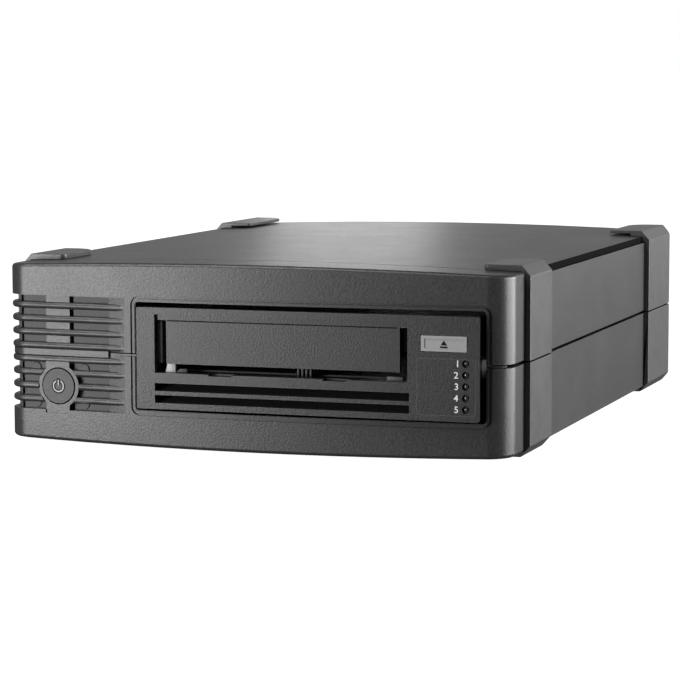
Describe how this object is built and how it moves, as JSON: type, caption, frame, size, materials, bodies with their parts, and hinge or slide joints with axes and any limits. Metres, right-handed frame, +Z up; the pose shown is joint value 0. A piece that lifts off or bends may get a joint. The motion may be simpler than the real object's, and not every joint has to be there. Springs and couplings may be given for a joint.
{
  "type": "data tape drive",
  "caption": "Desktop half-height cartridge tape drive: low bowed-front case with vent grille, corner guards, cartridge door, eject key, status lights and a rear fan panel.",
  "frame": {"origin": "bottom centre of the whole object, on the surface that it stands on", "axes": "+X to the right seen from the front, +Y to the rear, +Z up"},
  "size_m": [0.2278, 0.3044, 0.0795],
  "materials": {
    "case_plastic": "fine grained dark grey",
    "guard_plastic": "smooth dark grey",
    "backing_plastic": "dark grey",
    "rubber": "soft black",
    "button_plastic": "satin dark grey",
    "circuit_board": "green solder mask",
    "panel_steel": "black powder coat",
    "port_metal": "nickel plate",
    "black_plastic": "black",
    "brass_pin": "plated",
    "screw_steel": "zinc plated",
    "ferrite": "dark core with tape",
    "capacitor_sleeve": "dark blue sleeve",
    "heatsink_aluminium": "extruded",
    "zinc_sheet": "zinc plated sheet",
    "cable_jacket": "black jacket",
    "drive_plastic": "fine grained dark grey",
    "eject_plastic": "mid grey",
    "lens_plastic": "smoked",
    "cast_aluminium": "cast",
    "motor_steel": "plated",
    "reel_plastic": "black",
    "roller_metal": "turned",
    "head_ceramic": "polished ceramic"
  },
  "bodies": {
    "case": {"bay_guides": "black_plastic", "case_screws": "screw_steel", "data_cable": "cable_jacket", "data_ports": "port_metal", "door_pin": "screw_steel", "drive_bezel": "drive_plastic", "drive_bracket_left": "zinc_sheet", "drive_bracket_right": "zinc_sheet", "drive_chassis": "cast_aluminium", "drive_screws": "screw_steel", "drive_top_cover": "zinc_sheet", "fan_frame": "black_plastic", "foot_pads": "rubber", "front_bezel_lower": "case_plastic", "front_bezel_upper": "case_plastic", "front_board": "circuit_board", "guard_lower_front_left": "guard_plastic", "guard_lower_front_right": "guard_plastic", "guard_lower_rear_left": "guard_plastic", "guard_lower_rear_right": "guard_plastic", "guard_upper_front_left": "guard_plastic", "guard_upper_front_right": "guard_plastic", "guard_upper_rear_left": "guard_plastic", "guard_upper_rear_right": "guard_plastic", "guide_posts": "screw_steel", "head_base": "cast_aluminium", "head_stepper": "motor_steel", "interface_board": "circuit_board", "led_lenses": "lens_plastic", "loader_motor": "motor_steel", "logic_board": "circuit_board", "lower_shell": "case_plastic", "mains_inlet": "black_plastic", "mains_pins": "brass_pin", "panel_screws": "screw_steel", "power_harness": "cable_jacket", "power_switch_board": "circuit_board", "psu_board": "circuit_board", "psu_capacitors": "capacitor_sleeve", "psu_heatsinks": "heatsink_aluminium", "psu_transformer": "ferrite", "rear_panel": "panel_steel", "reel_motors": "motor_steel", "upper_shell": "case_plastic", "vent_backing": "backing_plastic"},
    "power_button": {"power_button": "button_plastic"},
    "eject_button": {"eject_button": "eject_plastic"},
    "cartridge_door": {"cartridge_door": "drive_plastic"},
    "fan_rotor": {"fan_rotor": "black_plastic"},
    "loader_slider": {"loader_slider": "black_plastic"},
    "cartridge_cradle": {"cartridge_cradle": "black_plastic"},
    "loader_pinion": {"loader_pinion": "black_plastic"},
    "reel_driver": {"reel_driver": "cast_aluminium"},
    "take_up_reel": {"take_up_reel": "reel_plastic"},
    "head_carriage": {"head_carriage": "head_ceramic"},
    "guide_roller_1": {"guide_roller_1": "roller_metal"},
    "guide_roller_2": {"guide_roller_2": "roller_metal"},
    "guide_roller_3": {"guide_roller_3": "roller_metal"},
    "guide_roller_4": {"guide_roller_4": "roller_metal"}
  },
  "joints": [
    {"name": "power_button_press", "type": "slide", "parent": "case", "child": "power_button", "axis": [0, 1, 0], "range_m": [0, 0.0012], "stiffness_N_per_m": 400},
    {"name": "eject_button_press", "type": "slide", "parent": "case", "child": "eject_button", "axis": [0, 1, 0], "range_m": [0, 0.0008], "stiffness_N_per_m": 400},
    {"name": "cartridge_door_swing", "type": "hinge", "parent": "case", "child": "cartridge_door", "pos_m": [0.0152, -0.14975, 0.057], "axis": [1, 0, 0], "range_deg": [0, 90], "stiffness_Nm_per_rad": 0.004, "springref_deg": -11.46},
    {"name": "fan_spin", "type": "hinge", "parent": "case", "child": "fan_rotor", "pos_m": [0.062, 0.1385, 0.04], "axis": [0, 1, 0], "continuous": true},
    {"name": "loader_slide", "type": "slide", "parent": "case", "child": "loader_slider", "axis": [0, 1, 0], "range_m": [0, 0.018]},
    {"name": "cradle_lower", "type": "slide", "parent": "loader_slider", "child": "cartridge_cradle", "axis": [0, 0, -1], "range_m": [0, 0.006]},
    {"name": "loader_pinion_spin", "type": "hinge", "parent": "case", "child": "loader_pinion", "pos_m": [0.08096, -0.0822, 0.0405], "axis": [0, 0, 1], "range_deg": [-140, 2]},
    {"name": "reel_driver_spin", "type": "hinge", "parent": "case", "child": "reel_driver", "pos_m": [0.0152, -0.0712, 0.0249], "axis": [0, 0, 1], "continuous": true},
    {"name": "take_up_reel_spin", "type": "hinge", "parent": "case", "child": "take_up_reel", "pos_m": [0.006, 0.0088, 0.0249], "axis": [0, 0, 1], "continuous": true},
    {"name": "head_step", "type": "slide", "parent": "case", "child": "head_carriage", "axis": [0, 0, 1], "range_m": [-0.0025, 0.0025]},
    {"name": "guide_roller_1_spin", "type": "hinge", "parent": "case", "child": "guide_roller_1", "pos_m": [0.056, -0.0302, 0.0265], "axis": [0, 0, 1], "continuous": true},
    {"name": "guide_roller_2_spin", "type": "hinge", "parent": "case", "child": "guide_roller_2", "pos_m": [0.071, -0.0182, 0.0265], "axis": [0, 0, 1], "continuous": true},
    {"name": "guide_roller_3_spin", "type": "hinge", "parent": "case", "child": "guide_roller_3", "pos_m": [0.071, 0.0158, 0.0265], "axis": [0, 0, 1], "continuous": true},
    {"name": "guide_roller_4_spin", "type": "hinge", "parent": "case", "child": "guide_roller_4", "pos_m": [0.056, 0.0278, 0.0265], "axis": [0, 0, 1], "continuous": true}
  ],
  "couplings": [
    {"joint": "loader_pinion_spin", "follows": "loader_slide", "rad_per_m": -133.33}
  ]
}
